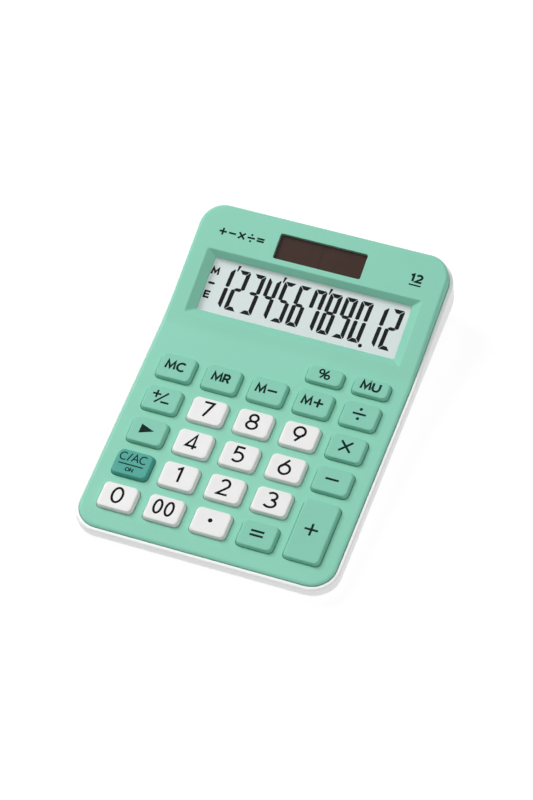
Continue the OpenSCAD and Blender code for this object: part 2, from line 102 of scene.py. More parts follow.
# Keys, as depths below the face
OPENING_GAP = 0.2
FLANGE = 0.6                # a key's flange stands out this far under the cover
FLANGE_TOP = COVER_T + GAP
FLANGE_T = 0.6
KEY_R = 2.1                 # corner radius of a key at its base
KEY_WALL = 1.3
LEAN_X, LEAN_Y = 0.65, 0.3  # how far a key's sides lean in
KEY_STRAIGHT = 0.4          # a key's walls stand upright up to here
DISH = 0.08                 # hollow of a key's top
EDGE = 1.0                  # flat edge round that hollow
PLUNGER_R = 2.0
PLUNGER_END = FLANGE_TOP + FLANGE_T + 0.05
TRAVEL = frame["joints"][0]["range_m"][1] / MM
BOARD_TOP = PLUNGER_END + TRAVEL + 0.05 + 0.5
COLUMN_PITCH = 18.85
ROW_PITCH = 15.13
MIDDLE_ROW = 2.5

# Screw bosses: (x, y, height of the seat under the head)
BOSSES = [(side * x, y, z) for x, y, z in ((46.3, -66.95, 2.1), (42, 62, 14)) for side in (-1, 1)]
SEAT_T = 1.1
BOSS_R, POST_R, HEAD_R, SCREW_R, POST_HOLE_R = 2.75, 2.2, 2.2, 1.25, 1.12
EARS = [(x, y) for x in (-47.2, 47.2) for y in (12, 29)]    # display holder's screws
EAR_R, EAR_HOLE_R = 1.9, 0.82
BOARD_POSTS = [(x, row) for x in (-1.5, -0.5, 0.5, 1.5) for row in (0.5, 3.5)]   # in key pitches
BOARD_POST_R, BOARD_HOLE_R = 1.25, 0.62
BED = COVER_T * 0.8         # posts grow out of the cover's wall from this depth
FEET = [(41, -58), (-41, -58), (37, 50), (-37, 50)]
FOOT_R = 4.5
FOOT_SINK = 0.5
LABEL_W, LABEL_L, LABEL_Y, LABEL_R = 46, 24, 4, 2           # blank label recess in the base
RIB_HALF = 0.6              # ribs under the circuit board
RIB_FRONT, RIB_BACK = -27.5, 36
BOARD_T = 0.9
ROOT = 0.4                  # ribs and walls reach this far into the floor
CELL_PLAY = 0.2
CELL_WALL, CELL_WALL_H = 1.1, 4.6

# Display recess and solar opening, along and across the display's slope
BEZEL_HALF_W = 44.5
BEZEL_FRONT, BEZEL_BACK = 5.9, 34.2
BEZEL_DEPTH = 2.5
BEZEL_R = 0.8
TUB_DEPTH = 4.2             # depth of the display recess's walls
TUB_WALL = 1.0
WINDOW_OVER = 1.3           # how far the window reaches under the recess's lip
FENCE = 1.0                 # wall round the solar cell, and how far it hangs below the cover
FENCE_H = 2.0


def local_box(node, matrix):
    """The lowest and highest corner of a CAD node in a tilted frame, in millimetres."""
    into = matrix.inverted()
    points = [into @ (v.co / MM) for v in frame["nodes"][node].data.vertices]
    return (Vector(min(p[i] for p in points) for i in range(3)),
            Vector(max(p[i] for p in points) for i in range(3)))


# Mesh building: rings of points joined by skins, and flat fills between rings

def smooth_chain(controls, cuts, steps=4):
    """A line through control points with its corners cut off round, as a list of points.

    A cut is how far from its corner the rounding starts, or a pair for before and after it.
    """
    points = [controls[0]]
    for i in range(1, len(controls) - 1):
        a, b, c = controls[i - 1], controls[i], controls[i + 1]
        cut = cuts[i - 1]
        if cut == 0:
            points.append(b)
            continue
        start, end = cut if isinstance(cut, tuple) else (
            min(cut, (a - b).length * 0.49), min(cut, (c - b).length * 0.49))
        before = b + (a - b).normalized() * start
        after = b + (c - b).normalized() * end
        for k in range(steps + 1):
            t = k / steps
            points.append(before * (1 - t) ** 2 + b * 2 * t * (1 - t) + after * t ** 2)
    points.append(controls[-1])
    return points


def rounded_rect(w, l, r, n=6, x=0.0, y=0.0, cuts=()):
    """Points round a rounded rectangle, with extra ones where the long sides cross the cuts."""
    points = []
    hx, hy = w / 2 - r, l / 2 - r
    for quarter, (sx, sy) in enumerate(((1, 1), (-1, 1), (-1, -1), (1, -1))):
        for k in range(n + 1):
            a = math.radians(90 * (quarter + k / n))
            points.append(Vector((x + sx * hx + r * math.cos(a), y + sy * hy + r * math.sin(a))))
        side = {1: sorted(cuts, reverse=True), 3: sorted(cuts)}.get(quarter, ())
        edge = -w / 2 if quarter == 1 else w / 2
        points += [Vector((x + edge, cut)) for cut in side]
    return points


def circle(r, n=32, x=0.0, y=0.0):
    return [Vector((x + r * math.cos(math.tau * k / n), y + r * math.sin(math.tau * k / n)))
            for k in range(n)]


def inside(point, loop):
    """Whether a 2D point is inside a closed loop of 2D points."""
    found = False
    for a, b in zip(loop, loop[1:] + loop[:1]):
        if (a[1] > point[1]) != (b[1] > point[1]):
            if point[0] < (b[0] - a[0]) * (point[1] - a[1]) / (b[1] - a[1]) + a[0]:
                found = not found
    return found


class Solid:
    """One mesh, made in millimetres in the row frame."""

    def __init__(self):
        self.bm = bmesh.new()
        self.flat = {}

    def ring(self, points, flat=None):
        """A ring of vertices; flat gives each one's place in the plane that a fill works in."""
        made = [self.bm.verts.new(p * MM) for p in points]
        for v, uv in zip(made, flat or [(p[0], p[1]) for p in points]):
            self.flat[v] = (uv[0], uv[1])
        return made

    def skin(self, a, b):
        for i in range(len(a)):
            j = (i + 1) % len(a)
            self.bm.faces.new((a[i], a[j], b[j], b[i]))

    def chain(self, rows, flats=None):
        """Rings joined one after the other; returns the first and the last."""
        rings = [self.ring(row, flats[i] if flats else None) for i, row in enumerate(rows)]
        for a, b in zip(rings, rings[1:]):
            self.skin(a, b)
        return rings[0], rings[-1]

    def cap(self, ring):
        self.bm.faces.new(ring)

    def fill(self, outer, holes=(), lift=None, lines=()):
        """Triangles between an outer ring and hole rings, with lines across that they keep to."""
        loops = [outer, *holes]
        verts = [v for loop in loops for v in loop]
        place = {v: i for i, v in enumerate(verts)}
        edges = [(place[a], place[b]) for loop in loops for a, b in zip(loop, loop[1:] + loop[:1])]
        edges += [(place[a], place[b]) for a, b in lines]
        spots = [Vector(self.flat[v]) for v in verts]
        found, _, faces, origin, _, _ = delaunay_2d_cdt(spots, edges, [], 0, 1e-5, True)
        outlines = [[self.flat[v] for v in loop] for loop in loops]
        made = [verts[o[0]] if o else self.bm.verts.new(lift(p[0], p[1]) * MM)
                for p, o in zip(found, origin)]
        for face in faces:
            middle = sum((found[i] for i in face), Vector((0, 0))) / len(face)
            if inside(middle, outlines[0]) and not any(inside(middle, o) for o in outlines[1:]):
                self.bm.faces.new([made[i] for i in face])

    def sweep(self, sections, closed=False):
        """A solid from cross-sections along a line; a closed one goes round and needs no ends."""
        rings = [self.ring(section) for section in sections]
        for a, b in zip(rings, rings[1:]):
            self.skin(a, b)
        if closed:
            self.skin(rings[-1], rings[0])
        else:
            self.cap(rings[0])
            self.cap(rings[-1])

    def tube(self, matrix, x, y, r_in, r_out, z0, z1, arcs=((0, 360),), n=32):
        """An upright wall round a point: a whole tube, or the arcs of it between given angles."""
        for a0, a1 in arcs:
            whole = a1 - a0 == 360
            sections = []
            for k in range(n if whole else n + 1):
                a = math.radians(a0 + (a1 - a0) * k / n)
                out = Vector((math.cos(a), math.sin(a), 0))
                base = Vector((x, y, 0))
                sections.append([matrix @ (base + out * r + Vector((0, 0, z)))
                                 for r, z in ((r_in, z0), (r_out, z0), (r_out, z1), (r_in, z1))])
            self.sweep(sections, whole)

    def plate(self, place, outline, top, bottom):
        """A thin flat plate; place puts an outline's point at a height above a surface."""
        self.sweep([[place(p[0], p[1], height) for p in outline] for height in (bottom, top)])

    def lathe(self, matrix, profile, n=32):
        """A closed round piece from (radius, height) points that start and end on its axis."""
        rows = [[matrix @ Vector((r * math.cos(math.tau * k / n), r * math.sin(math.tau * k / n), z))
                 for k in range(n)] for r, z in profile if r > 0]
        first, last = self.chain(rows)
        self.cap(first)
        self.cap(last)

    def piece(self, name, body, material, replaces=(), sharp=38, weighted=True):
        """Turns the mesh into a piece that rides on a CAD body."""
        bmesh.ops.recalc_face_normals(self.bm, faces=self.bm.faces)
        mesh = bpy.data.meshes.new(name)
        self.bm.to_mesh(mesh)
        self.bm.free()
        mesh.polygons.foreach_set("use_smooth", [True] * len(mesh.polygons))
        mesh.set_sharp_from_angle(angle=math.radians(sharp))
        obj = bpy.data.objects.new(name, mesh)
        bpy.context.scene.collection.objects.link(obj)
        mesh.materials.append(material)
        if weighted:
            even = obj.modifiers.new("even_normals", "WEIGHTED_NORMAL")
            even.keep_sharp = True
        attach(obj, body)
        if replaces:
            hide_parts(*replaces)
        return obj


# Materials

def new_material(name):
    material = bpy.data.materials.new(name)
    material.use_nodes = True
    nodes = material.node_tree.nodes
    return material, nodes, material.node_tree.links, nodes["Principled BSDF"]


def srgb(r, g, b):
    """A colour given as 0 to 255 in sRGB, as linear RGBA."""
    def linear(c):
        c /= 255
        return c / 12.92 if c <= 0.04045 else ((c + 0.055) / 1.055) ** 2.4
    return (linear(r), linear(g), linear(b), 1.0)


def noise(nodes, links, coordinates, scale, detail=2.0):
    texture = nodes.new("ShaderNodeTexNoise")
    texture.inputs["Scale"].default_value = scale
    texture.inputs["Detail"].default_value = detail
    links.new(coordinates, texture.inputs["Vector"])
    return texture.outputs["Fac"]


def ramp(nodes, links, value, low_stop, high_stop, at=(0.35, 0.65)):
    """Maps a 0 to 1 value to between two colours or two grey levels."""
    made = nodes.new("ShaderNodeValToRGB")
    for element, position, stop in zip(made.color_ramp.elements, at, (low_stop, high_stop)):
        element.position = position
        element.color = stop if hasattr(stop, "__len__") else (stop, stop, stop, 1)
    links.new(value, made.inputs["Fac"])
    return made.outputs["Color"]


def moulded(name, colour, rough, grain=0.02, spread=0.03, grain_mm=0.22, sheen=0.0, soft=0.0,
            gloss=0.5):
    """Moulded plastic or rubber: a fine spark-eroded grain, faint flow marks, uneven gloss."""
    material, nodes, links, shader = new_material(name)
    where = nodes.new("ShaderNodeTexCoord").outputs["Object"]
    flow = noise(nodes, links, where, 35, 3)
    dark = tuple(c * (1 - spread) for c in colour[:3]) + (1,)
    light = tuple(min(1, c * (1 + spread)) for c in colour[:3]) + (1,)
    links.new(ramp(nodes, links, flow, dark, light), shader.inputs["Base Color"])
    patches = noise(nodes, links, where, 160, 4)
    links.new(ramp(nodes, links, patches, rough - 0.05, rough + 0.05), shader.inputs["Roughness"])
    shader.inputs["Specular IOR Level"].default_value = gloss
    bump = nodes.new("ShaderNodeBump")
    bump.inputs["Strength"].default_value = grain * 10
    bump.inputs["Distance"].default_value = 0.00006
    links.new(noise(nodes, links, where, 1 / (grain_mm * MM), 3), bump.inputs["Height"])
    links.new(bump.outputs["Normal"], shader.inputs["Normal"])
    shader.inputs["IOR"].default_value = 1.5
    if sheen:
        shader.inputs["Sheen Weight"].default_value = sheen
    if soft:
        shader.inputs["Subsurface Weight"].default_value = soft
        shader.inputs["Subsurface Radius"].default_value = (0.0012, 0.0011, 0.001)
        shader.inputs["Subsurface Scale"].default_value = 1.0
    return material


def metal(name, colour, rough, brushed=0.3):
    """Plated metal with fine brushing round it and small stains in its gloss."""
    material, nodes, links, shader = new_material(name)
    where = nodes.new("ShaderNodeTexCoord").outputs["Object"]
    shader.inputs["Metallic"].default_value = 1.0
    tint = noise(nodes, links, where, 220, 3)
    dark = tuple(c * 0.86 for c in colour[:3]) + (1,)
    links.new(ramp(nodes, links, tint, dark, colour), shader.inputs["Base Color"])
    gloss = noise(nodes, links, where, 900, 4)
    links.new(ramp(nodes, links, gloss, rough - 0.06, rough + 0.1), shader.inputs["Roughness"])
    bump = nodes.new("ShaderNodeBump")
    bump.inputs["Strength"].default_value = brushed
    bump.inputs["Distance"].default_value = 0.00003
    links.new(noise(nodes, links, where, 5000, 2), bump.inputs["Height"])
    links.new(bump.outputs["Normal"], shader.inputs["Normal"])
    return material


def clear(name, colour, alpha, rough=0.04):
    """A clear moulded window: mostly see-through, with a gloss and faint moulding ripples."""
    material, nodes, links, shader = new_material(name)
    where = nodes.new("ShaderNodeTexCoord").outputs["Object"]
    shader.inputs["Base Color"].default_value = colour
    shader.inputs["Alpha"].default_value = alpha
    shader.inputs["Roughness"].default_value = rough
    shader.inputs["Specular IOR Level"].default_value = 0.12
    bump = nodes.new("ShaderNodeBump")
    bump.inputs["Strength"].default_value = 0.04
    bump.inputs["Distance"].default_value = 0.0002
    links.new(noise(nodes, links, where, 60), bump.inputs["Height"])
    links.new(bump.outputs["Normal"], shader.inputs["Normal"])
    return material


LCD_PAINTED_GLOW = 0.48             # painted glow: the panel shines in its own colour, which lifts the shade that the display recess casts on it


def lcd_face(name, colour):
    """The panel: pale grey-green, a little brighter in patches, as its reflector shows through; it also
    glows in its own colour, a painted glow that lifts the shade in its recess.
    """
    material, nodes, links, shader = new_material(name)
    where = nodes.new("ShaderNodeTexCoord").outputs["Object"]
    flow = noise(nodes, links, where, 18, 2)
    dark = tuple(c * 0.985 for c in colour[:3]) + (1,)
    links.new(ramp(nodes, links, flow, dark, colour), shader.inputs["Base Color"])
    fleck = noise(nodes, links, where, 9000, 2)
    links.new(ramp(nodes, links, fleck, 0.34, 0.46), shader.inputs["Roughness"])
    shader.inputs["Specular IOR Level"].default_value = 0.2
    # Painted glow: the panel emits its own base colour as painted light, so the shade from the recess's
    # walls stays faint
    links.new(shader.inputs["Base Color"].links[0].from_socket, shader.inputs["Emission Color"])
    shader.inputs["Emission Strength"].default_value = LCD_PAINTED_GLOW
    return material


def solar_face(name):
    """Amorphous solar cell: dark brown glass, split into four by hair-thin scribed lines."""
    material, nodes, links, shader = new_material(name)
    where = nodes.new("ShaderNodeTexCoord").outputs["Object"]
    wave = nodes.new("ShaderNodeTexWave")
    wave.wave_type = "BANDS"
    wave.bands_direction = "X"
    wave.inputs["Scale"].default_value = 1000 / 9.0 * math.pi / 20
    wave.inputs["Distortion"].default_value = 0.0
    links.new(where, wave.inputs["Vector"])
    line = ramp(nodes, links, wave.outputs["Fac"], 0.0, 1.0, at=(0.004, 0.012))
    mix = nodes.new("ShaderNodeMix")
    mix.data_type = "RGBA"
    mix.inputs["A"].default_value = srgb(54, 36, 32)
    links.new(line, mix.inputs["Factor"])
    glow = noise(nodes, links, where, 60, 3)
    links.new(ramp(nodes, links, glow, srgb(58, 38, 33), srgb(64, 43, 37)), mix.inputs["B"])
    links.new(mix.outputs["Result"], shader.inputs["Base Color"])
    shader.inputs["Roughness"].default_value = 0.22
    return material


def ink(name, colour, rough=0.6):
    """Printed ink, slightly uneven in its cover."""
    material, nodes, links, shader = new_material(name)
    where = nodes.new("ShaderNodeTexCoord").outputs["Object"]
    cover = noise(nodes, links, where, 2500, 3)
    light = tuple(c * 1.25 + 0.001 for c in colour[:3]) + (1,)
    links.new(ramp(nodes, links, cover, colour, light), shader.inputs["Base Color"])
    shader.inputs["Roughness"].default_value = rough
    shader.inputs["Specular IOR Level"].default_value = 0.08
    return material


MINT = srgb(138, 208, 184)
MINT_SHELL = moulded("mint_shell", MINT, 0.5, grain=0.03, spread=0.012, gloss=0.3)
MINT_KEY = moulded("mint_key", srgb(134, 203, 180), 0.46, grain=0.02, spread=0.01, gloss=0.2)
WHITE_SHELL = moulded("white_shell", srgb(251, 251, 251), 0.36, grain=0.012, spread=0.004, soft=0.05)
WHITE_KEY = moulded("white_key", srgb(237, 236, 236), 0.36, grain=0.012, spread=0.006, soft=0.05)
TEAL_KEY = moulded("teal_key", srgb(78, 166, 152), 0.46, grain=0.02, spread=0.015, gloss=0.2)
FOOT_RUBBER = moulded("foot_rubber", srgb(66, 68, 70), 0.75, grain=0.06, grain_mm=0.35, sheen=0.2)
MAT_RUBBER = moulded("mat_rubber", srgb(196, 198, 194), 0.6, grain=0.03, sheen=0.2, soft=0.1)
DARK_PLASTIC = moulded("dark_plastic", srgb(64, 66, 68), 0.5)
BOARD_GREEN = moulded("board", srgb(34, 104, 66), 0.32, grain=0.05, spread=0.12, grain_mm=1.2)
EPOXY = moulded("epoxy", srgb(22, 22, 24), 0.22, grain=0.01)
SLEEVE = moulded("capacitor_sleeve", srgb(32, 44, 96), 0.3)
RIBBON = moulded("ribbon_film", srgb(186, 132, 66), 0.28, grain=0.02, spread=0.1)
REFLECTOR = moulded("reflector_sheet", srgb(208, 214, 212), 0.3)
RED_WIRE = moulded("wire_red", srgb(186, 36, 38), 0.4)
BLACK_WIRE = moulded("wire_black", srgb(28, 28, 30), 0.4)
STEEL = metal("screw_steel", srgb(196, 198, 202), 0.3)
CELL_STEEL = metal("battery_steel", srgb(206, 206, 204), 0.22)
CONTACT = metal("contact_metal", srgb(206, 188, 120), 0.3)
WINDOW = clear("clear_window", srgb(236, 242, 242), 0.006)
SOLAR_WINDOW = clear("solar_window", srgb(96, 70, 60), 0.06, 0.08)
LCD_GLASS = lcd_face("lcd_glass", srgb(181, 190, 189))
SOLAR_CELL = solar_face("solar_cell")
KEY_INK = ink("key_ink", srgb(12, 14, 16))
TEAL_INK = ink("teal_ink", srgb(8, 46, 42))
COVER_INK = ink("cover_ink", srgb(10, 36, 32))
LCD_INK = ink("lcd_ink", srgb(2, 3, 4))


# The face of the top cover: x across, s along its side view, depth straight down into it

def face_point(x, s, depth=0.0):
    if s <= BEND_START:
        y, z, turn = s, 0.0, 0.0
    elif s < BEND_END:
        turn = (s - BEND_START) / BEND_R
        y, z = BEND_START + BEND_R * math.sin(turn), BEND_R * (1 - math.cos(turn))
    else:
        turn = DISPLAY_RISE
        along = BEND_CUT + s - BEND_END
        y, z = BEND_Y + along * math.cos(turn), along * math.sin(turn)
    return PAD @ Vector((x, y + depth * math.sin(turn), z - depth * math.cos(turn)))


def face_s(y, depth=0.0):
    """How far along the face a point of it with this row-frame y lies."""
    s = y - PAD_Y
    for _ in range(8):
        s += y - face_point(0, s, depth).y
    return s


def display_s(y):
    """How far along the face a place on the display's slope lies."""
    return BEND_END - BEND_CUT + y


def rim_height(y):
    """Row-frame height of the line where the covers meet."""
    along = (y - PAD_Y) / math.cos(PAD_TILT)
    drop = RIM_DROP - max(0.0, along - RIM_BEND_Y) * RIM_RISE
    return PAD_Z + along * math.sin(PAD_TILT) - drop * math.cos(PAD_TILT)


def face_rows(rects, n=5):
    """Rings for rectangles (half width, front, back, depth, corner radius) sunk in the face."""
    rows, flats = [], []
    for hx, y0, y1, depth, r in rects:
        outline = rounded_rect(2 * hx, y1 - y0, r, n, y=(y0 + y1) / 2)
        rows.append([face_point(p.x, p.y, depth) for p in outline])
        flats.append(outline)
    return rows, flats


def rounded_rects(controls, cuts, steps=4):
    return [tuple(v) for v in smooth_chain([Vector(c) for c in controls], cuts, steps)]


KEYS = {j["child"]: local_box(j["child"], PAD) for j in frame["joints"]}


def key_place(name):
    """Centre, half sizes where it leaves the face, and height of a key, in the keypad's frame."""
    lo, hi = KEYS[name]
    return (lo + hi) / 2, (hi.x - lo.x) / 2 - FLANGE, (hi.y - lo.y) / 2 - FLANGE, hi.z


def cover_outline(inset, cuts):
    return rounded_rect(BODY_W - 2 * (RIM_W + inset), BODY_L - 2 * (RIM_W + inset),
                        COVER_R - inset, 10, cuts=cuts)


def build_top_cover():
    solid = Solid()
    bend = [face_point(0, BEND_START + (BEND_END - BEND_START) * k / 6).y for k in range(7)]
    cuts = [-50, -30, -10, 10, *bend, 35, 50]
    rows, flats = [], []

    def add(inset, height, depth=0.0):
        outline = cover_outline(inset, cuts)
        rows.append([Vector((p.x, p.y, height(p.y))) for p in outline])
        flats.append([(p.x, face_s(p.y, depth)) for p in outline])

    def top(y, depth=0.0):
        return face_point(0, face_s(y, depth), depth).z

    steps = 6
    for k in range(steps + 1):
        a = math.pi / 2 * k / steps
        def edge(y, a=a):
            drop = min(EDGE_R, 0.8 * (top(y) - rim_height(y)))
            return top(y) - drop * (1 - math.cos(a))
        add(EDGE_R * (1 - math.sin(a)), edge)
    add(0, lambda y: rim_height(y) - SKIRT + 0.3)
    add(0.3, lambda y: rim_height(y) - SKIRT)
    add(COVER_T - 0.2, lambda y: rim_height(y) - SKIRT)
    add(COVER_T, lambda y: rim_height(y) - SKIRT + 0.2)
    add(COVER_T, lambda y: top(y, COVER_T), COVER_T)
    outer_top, outer_under = solid.chain(rows, flats)

    holes_top, holes_under = [], []

    def sink(controls, corner_cuts, n=5):
        first, last = solid.chain(*face_rows(rounded_rects(controls, corner_cuts), n))
        holes_top.append(first)
        holes_under.append(last)

    for name in KEYS:
        centre, hx, hy, _ = key_place(name)
        hx, hy, lip, r = hx + OPENING_GAP, hy + OPENING_GAP, 0.3, KEY_R + OPENING_GAP
        y0, y1 = centre.y - hy, centre.y + hy
        rects = [(hx + lip, y0 - lip, y1 + lip, 0, r + lip), (hx, y0, y1, 0, r),
                 (hx, y0, y1, lip, r), (hx, y0, y1, COVER_T, r)]
        hole_rows, hole_flats = face_rows(rounded_rects(rects, [lip, 0], 3))
        for row in hole_rows:
            for p in row:
                p.x += centre.x
        hole_flats = [[Vector((p.x + centre.x, p.y)) for p in row] for row in hole_flats]
        first, last = solid.chain(hole_rows, hole_flats)
        holes_top.append(first)
        holes_under.append(last)

    def slope_rect(node, grow):
        """(half width, front, back) of a CAD node on the display's slope, grown all round."""
        lo, hi = local_box(node, DISPLAY)
        return hi.x + grow, display_s(lo.y - grow), display_s(hi.y + grow)

    def grown(rect, by):
        return rect[0] + by, rect[1] - by, rect[2] + by

    view = slope_rect("display_window", -WINDOW_OVER)
    seat = slope_rect("display_window", GAP)
    window_top = -local_box("display_window", DISPLAY)[1].z
    bezel = (BEZEL_HALF_W, display_s(BEZEL_FRONT), display_s(BEZEL_BACK))
    tub = grown(bezel, TUB_WALL)
    sink([(*grown(bezel, 1), 0, BEZEL_R + 0.6), (*bezel, 0, BEZEL_R),
          (*view, BEZEL_DEPTH, 0.6), (*view, window_top, 0.6),
          (*seat, window_top, 0.5), (*seat, TUB_DEPTH, 0.5),
          (*tub, TUB_DEPTH, 1), (*tub, COVER_T, 1)],
         [0.55, 0.12, 0, 0, 0, 0])

    solar = slope_rect("solar_window", GAP)
    cell = slope_rect("solar_cell", GAP)
    fence = grown(cell, FENCE)
    sink([(*grown(solar, 0.25), 0, 1.05), (*solar, 0, 0.8), (*solar, 0.3, 0.8),
          (*solar, COVER_T, 0.8), (*cell, COVER_T, 0.8), (*cell, COVER_T + FENCE_H, 0.8),
          (*fence, COVER_T + FENCE_H, 0.8), (*fence, COVER_T, 0.8)],
         [0.25, 0, 0, 0, 0, 0])

    def across(ring):
        """Pairs of vertices that face each other on the two long sides."""
        left = {round(solid.flat[v][1], 4): v for v in ring if solid.flat[v][0] < -40}
        right = {round(solid.flat[v][1], 4): v for v in ring if solid.flat[v][0] > 40}
        sides = {round(face_s(y), 4) for y in bend}
        return [(left[s], right[s]) for s in sides if s in left and s in right]

    solid.fill(outer_top, holes_top, lambda u, v: face_point(u, v), across(outer_top))
    solid.fill(outer_under, holes_under, lambda u, v: face_point(u, v, COVER_T))

    for x, y, seat_z in BOSSES:
        solid.tube(Matrix(), x, y, POST_HOLE_R, POST_R, seat_z + SEAT_T + GAP, top(y, BED))
    for column, row in BOARD_POSTS:
        solid.tube(PAD, column * COLUMN_PITCH, (MIDDLE_ROW - row) * ROW_PITCH, BOARD_HOLE_R,
                   BOARD_POST_R, -BOARD_TOP, -BED)
    for x, y in EARS:
        solid.tube(DISPLAY, x, y, EAR_HOLE_R, EAR_R, -TUB_DEPTH, -BED)
    return solid.piece("cover_shell", CASE, MINT_SHELL, ["top_cover"])


build_top_cover()


# Rear cover: rim, walls that tuck in, base, floor and what stands on it

def rear_section(p, out):
    """The wall's section at a point of the outline: (inset, height) from the base round to the floor."""
    side, end = out.x ** 2, out.y ** 2
    along = (p.y - PAD_Y) / math.cos(PAD_TILT)
    side_z = PAD_Z + along * math.sin(PAD_TILT) + TUCK_Z * math.cos(PAD_TILT)
    side_z = max(side_z, BASE_Z + 1.4)
    side_in = max((side_z - BASE_Z) * TUCK, 0.9)
    end_z, end_in = (NOSE_Z, NOSE_IN) if p.y < 0 else (TAIL_Z, TAIL_IN)
    tuck_z = side * side_z + end * end_z
    tuck_in = side * side_in + end * end_in
    inner_z = max(tuck_z, FLOOR_Z + 0.3)
    inner_in = REAR_WALL + (inner_z - FLOOR_Z) * tuck_in / (tuck_z - BASE_Z)
    rim = rim_height(p.y)
    lip = RIM_W - GAP
    controls = [(tuck_in + 1.6, BASE_Z), (tuck_in, BASE_Z), (0, tuck_z), (0, rim), (lip, rim),
                (lip, rim - LEDGE), (REAR_WALL, rim - LEDGE), (REAR_WALL, inner_z),
                (inner_in, FLOOR_Z), (inner_in + 0.3, FLOOR_Z)]
    return smooth_chain([Vector(c) for c in controls], [1.0, 2.2, RIM_ROUND, 0.4, 0, 0, 1.5, 0.8], 8)


def build_rear_cover():
    solid = Solid()
    outline = rounded_rect(BODY_W, BODY_L, REAR_R, 12, cuts=[-50, -30, -10, 10, 20, 30, 45])
    core = Vector((BODY_W / 2 - REAR_R, BODY_L / 2 - REAR_R))
    columns = []
    for p in outline:
        nearest = Vector((max(-core.x, min(core.x, p.x)), max(-core.y, min(core.y, p.y))))
        out = (p - nearest).normalized()
        columns.append([Vector((*(p - out * inset), z)) for inset, z in rear_section(p, out)])
    base_edge, floor_edge = solid.chain(zip(*columns))

    def sink(steps, x, y, n=32):
        """A round pocket or hole down through (radius, height) steps; returns its end rings."""
        return solid.chain([[Vector((*q, z)) for q in circle(r, n, x, y)] for r, z in steps])

    base_holes, floor_holes = [], []
    for x, y, seat in BOSSES:
        top = seat + SEAT_T
        first, last = sink([(HEAD_R + 0.2, BASE_Z), (HEAD_R, BASE_Z + 0.2), (HEAD_R, seat),
                            (SCREW_R, seat), (SCREW_R, top), (BOSS_R - 0.3, top),
                            (BOSS_R, top - 0.3), (BOSS_R, FLOOR_Z)], x, y)
        base_holes.append(first)
        floor_holes.append(last)
    for x, y in FEET:
        r = FOOT_R + GAP
        first, last = sink([(r + 0.2, BASE_Z), (r, BASE_Z + 0.2), (r, BASE_Z + FOOT_SINK)], x, y, 48)
        base_holes.append(first)
        solid.cap(last)
    label = []
    for inset, z in ((0, 0), (0.2, 0.2), (0.25, 0.35)):
        edge = rounded_rect(LABEL_W - 2 * inset, LABEL_L - 2 * inset, LABEL_R - inset, 6, y=LABEL_Y)
        label.append([Vector((*q, BASE_Z + z)) for q in edge])
    first, last = solid.chain(label)
    base_holes.append(first)
    solid.cap(last)
    solid.fill(base_edge, base_holes)
    solid.fill(floor_edge, floor_holes)

    for column in (-2, -1, 0, 1, 2):
        x = column * COLUMN_PITCH
        ends = [PAD @ Vector((x, y, -BOARD_TOP - BOARD_T)) for y in (RIB_FRONT, RIB_BACK)]
        solid.sweep([[Vector((x + side * RIB_HALF, end.y, z)) for side, z in
                      ((-1, FLOOR_Z - ROOT), (1, FLOOR_Z - ROOT), (1, end.z), (-1, end.z))]
                     for end in ends])
    lo, hi = local_box("battery_cell", Matrix())
    middle, r = (lo + hi) / 2, (hi.x - lo.x) / 2 + CELL_PLAY
    solid.tube(Matrix(), middle.x, middle.y, r, r + CELL_WALL, FLOOR_Z - ROOT,
               FLOOR_Z + CELL_WALL_H, ((-73, 73), (107, 253)), 24)
    return solid.piece("rear_shell", CASE, WHITE_SHELL, ["rear_cover"])


def build_feet():
    solid = Solid()
    top = BASE_Z + FOOT_SINK - 0.01
    for x, y in FEET:
        solid.lathe(Matrix.Translation((x, y, 0)),
                    [(FOOT_R - 1.2, 0.12), (FOOT_R - 0.9, 0), (FOOT_R - 0.5, 0),
                     (FOOT_R - 0.15, 0.15), (FOOT_R, 0.45), (FOOT_R, top)], 48)
    return solid.piece("feet", CASE, FOOT_RUBBER, ["rubber_feet"])


build_rear_cover()
build_feet()


# Keys

def key_top(name, x, y):
    """Height of a key's slightly hollow top at a place on it, in the keypad's frame."""
    centre, hx, hy, height = key_place(name)
    across = min(1, abs(x - centre.x) / (hx - LEAN_X - EDGE))
    along = min(1, abs(y - centre.y) / (hy - LEAN_Y - EDGE))
    return height - DISH * (1 - across ** 2) * (1 - along ** 2)


